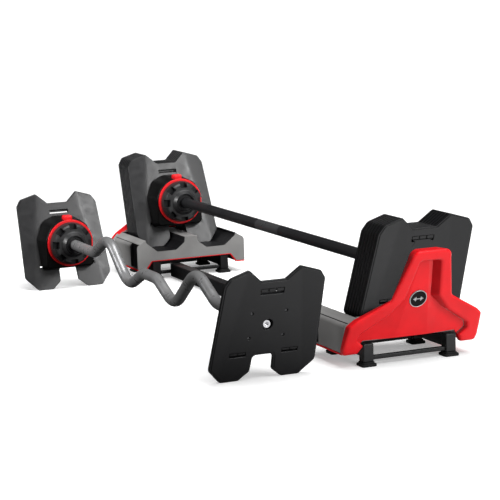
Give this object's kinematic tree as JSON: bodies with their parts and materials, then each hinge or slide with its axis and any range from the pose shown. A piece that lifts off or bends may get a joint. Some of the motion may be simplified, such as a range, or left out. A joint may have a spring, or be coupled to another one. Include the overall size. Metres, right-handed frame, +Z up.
{
  "type": "adjustable barbell set",
  "caption": "Straight adjustable barbell resting in two cradles that hold its dial-selected weight plates, with a cambered curl bar standing beside it on its own end plates.",
  "frame": {"origin": "on the floor under the middle of the whole set", "axes": "+X along both bars towards the right-hand cradle, +Z up, +Y from the curl bar towards the straight bar"},
  "size_m": [1.7406, 0.6582, 0.3402],
  "materials": {
    "plate_coat": "fine-textured black nylon moulded over a steel core",
    "black_plastic": "moulded black nylon, matte with a fine grain",
    "bar_steel": "satin black oxide on a steel bar, knurled where the hands go",
    "bright_steel": "turned bright steel",
    "red_plastic": "moulded red plastic, satin",
    "grey_plastic": "moulded mid grey plastic, fine matte grain",
    "black_steel": "black powder coat on square steel tube",
    "rubber": "matte black rubber"
  },
  "bodies": {
    "cradles": {"link_rail": "black_steel", "left_tub": "grey_plastic", "left_end_cover": "red_plastic", "left_badge": "black_plastic", "left_frame": "black_steel", "left_foot_pad_1": "rubber", "left_foot_pad_2": "rubber", "left_foot_pad_3": "rubber", "left_foot_pad_4": "rubber", "right_tub": "grey_plastic", "right_end_cover": "red_plastic", "right_badge": "black_plastic", "right_frame": "black_steel", "right_foot_pad_1": "rubber", "right_foot_pad_2": "rubber", "right_foot_pad_3": "rubber", "right_foot_pad_4": "rubber"},
    "barbell": {"straight_bar": "bar_steel", "left_housing": "black_plastic", "left_fixed_plate": "plate_coat", "left_button_spring": "bright_steel", "right_housing": "black_plastic", "right_fixed_plate": "plate_coat", "right_button_spring": "bright_steel"},
    "curl_barbell": {"curl_bar": "bar_steel", "curl_left_housing": "black_plastic", "curl_left_fixed_plate": "plate_coat", "curl_left_button_spring": "bright_steel", "curl_right_housing": "black_plastic", "curl_right_fixed_plate": "plate_coat", "curl_right_button_spring": "bright_steel"},
    "plate_pair_6": {"left_loose_plate_6": "plate_coat", "right_loose_plate_6": "plate_coat"},
    "plate_pair_5": {"left_loose_plate_5": "plate_coat", "right_loose_plate_5": "plate_coat"},
    "plate_pair_4": {"left_loose_plate_4": "plate_coat", "right_loose_plate_4": "plate_coat"},
    "plate_pair_3": {"left_loose_plate_3": "plate_coat", "right_loose_plate_3": "plate_coat"},
    "plate_pair_2": {"left_loose_plate_2": "plate_coat", "right_loose_plate_2": "plate_coat"},
    "plate_pair_1": {"left_loose_plate_1": "plate_coat", "right_loose_plate_1": "plate_coat"},
    "left_dial": {"left_dial": "black_plastic", "left_dial_ring": "red_plastic"},
    "left_shaft": {"left_selector_shaft": "bright_steel"},
    "left_button": {"left_lock_button": "red_plastic"},
    "right_dial": {"right_dial": "black_plastic", "right_dial_ring": "red_plastic"},
    "right_shaft": {"right_selector_shaft": "bright_steel"},
    "right_button": {"right_lock_button": "red_plastic"},
    "curl_left_dial": {"curl_left_dial": "black_plastic", "curl_left_dial_ring": "red_plastic"},
    "curl_left_shaft": {"curl_left_selector_shaft": "bright_steel"},
    "curl_left_button": {"curl_left_lock_button": "red_plastic"},
    "curl_right_dial": {"curl_right_dial": "black_plastic", "curl_right_dial_ring": "red_plastic"},
    "curl_right_shaft": {"curl_right_selector_shaft": "bright_steel"},
    "curl_right_button": {"curl_right_lock_button": "red_plastic"}
  },
  "joints": [
    {"name": "plate_pair_6_lift", "type": "slide", "parent": "cradles", "child": "plate_pair_6", "axis": [0, 0, 1], "range_m": [0, 0.28]},
    {"name": "plate_pair_5_lift", "type": "slide", "parent": "plate_pair_6", "child": "plate_pair_5", "axis": [0, 0, 1], "range_m": [0, 0.28]},
    {"name": "plate_pair_4_lift", "type": "slide", "parent": "plate_pair_5", "child": "plate_pair_4", "axis": [0, 0, 1], "range_m": [0, 0.28]},
    {"name": "plate_pair_3_lift", "type": "slide", "parent": "plate_pair_4", "child": "plate_pair_3", "axis": [0, 0, 1], "range_m": [0, 0.28]},
    {"name": "plate_pair_2_lift", "type": "slide", "parent": "plate_pair_3", "child": "plate_pair_2", "axis": [0, 0, 1], "range_m": [0, 0.28]},
    {"name": "plate_pair_1_lift", "type": "slide", "parent": "plate_pair_2", "child": "plate_pair_1", "axis": [0, 0, 1], "range_m": [0, 0.28]},
    {"name": "barbell_lift", "type": "slide", "parent": "plate_pair_1", "child": "barbell", "axis": [0, 0, 1], "range_m": [0, 0.3]},
    {"name": "curl_bar_lift", "type": "slide", "parent": "cradles", "child": "curl_barbell", "axis": [0, 0, 1], "range_m": [0, 0.45]},
    {"name": "left_dial_turn", "type": "hinge", "parent": "barbell", "child": "left_dial", "pos_m": [-0.702, 0.15815, 0.211], "axis": [-1, 0, 0], "range_deg": [0, 270]},
    {"name": "left_shaft_slide", "type": "slide", "parent": "barbell", "child": "left_shaft", "axis": [-1, 0, 0], "range_m": [0, 0.0738]},
    {"name": "left_button_press", "type": "slide", "parent": "barbell", "child": "left_button", "axis": [0, 0, -1], "range_m": [0, 0.004], "stiffness_N_per_m": 400, "springref_m": -0.002, "deforming": ["left_button_spring"]},
    {"name": "right_dial_turn", "type": "hinge", "parent": "barbell", "child": "right_dial", "pos_m": [0.702, 0.15815, 0.211], "axis": [1, 0, 0], "range_deg": [0, 270]},
    {"name": "right_shaft_slide", "type": "slide", "parent": "barbell", "child": "right_shaft", "axis": [1, 0, 0], "range_m": [0, 0.0738]},
    {"name": "right_button_press", "type": "slide", "parent": "barbell", "child": "right_button", "axis": [0, 0, -1], "range_m": [0, 0.004], "stiffness_N_per_m": 400, "springref_m": -0.002, "deforming": ["right_button_spring"]},
    {"name": "curl_left_dial_turn", "type": "hinge", "parent": "curl_barbell", "child": "curl_left_dial", "pos_m": [-0.633, -0.20385, 0.12922], "axis": [-1, 0, 0], "range_deg": [0, 270]},
    {"name": "curl_left_shaft_slide", "type": "slide", "parent": "curl_barbell", "child": "curl_left_shaft", "axis": [-1, 0, 0], "range_m": [0, 0.0738]},
    {"name": "curl_left_button_press", "type": "slide", "parent": "curl_barbell", "child": "curl_left_button", "axis": [0, 0, -1], "range_m": [0, 0.004], "stiffness_N_per_m": 400, "springref_m": -0.002, "deforming": ["curl_left_button_spring"]},
    {"name": "curl_right_dial_turn", "type": "hinge", "parent": "curl_barbell", "child": "curl_right_dial", "pos_m": [0.771, -0.20385, 0.12922], "axis": [1, 0, 0], "range_deg": [0, 270]},
    {"name": "curl_right_shaft_slide", "type": "slide", "parent": "curl_barbell", "child": "curl_right_shaft", "axis": [1, 0, 0], "range_m": [0, 0.0738]},
    {"name": "curl_right_button_press", "type": "slide", "parent": "curl_barbell", "child": "curl_right_button", "axis": [0, 0, -1], "range_m": [0, 0.004], "stiffness_N_per_m": 400, "springref_m": -0.002, "deforming": ["curl_right_button_spring"]}
  ],
  "couplings": [
    {"joint": "left_shaft_slide", "follows": "left_dial_turn", "m_per_rad": 0.015661},
    {"joint": "right_shaft_slide", "follows": "right_dial_turn", "m_per_rad": 0.015661},
    {"joint": "curl_left_shaft_slide", "follows": "curl_left_dial_turn", "m_per_rad": 0.015661},
    {"joint": "curl_right_shaft_slide", "follows": "curl_right_dial_turn", "m_per_rad": 0.015661}
  ]
}
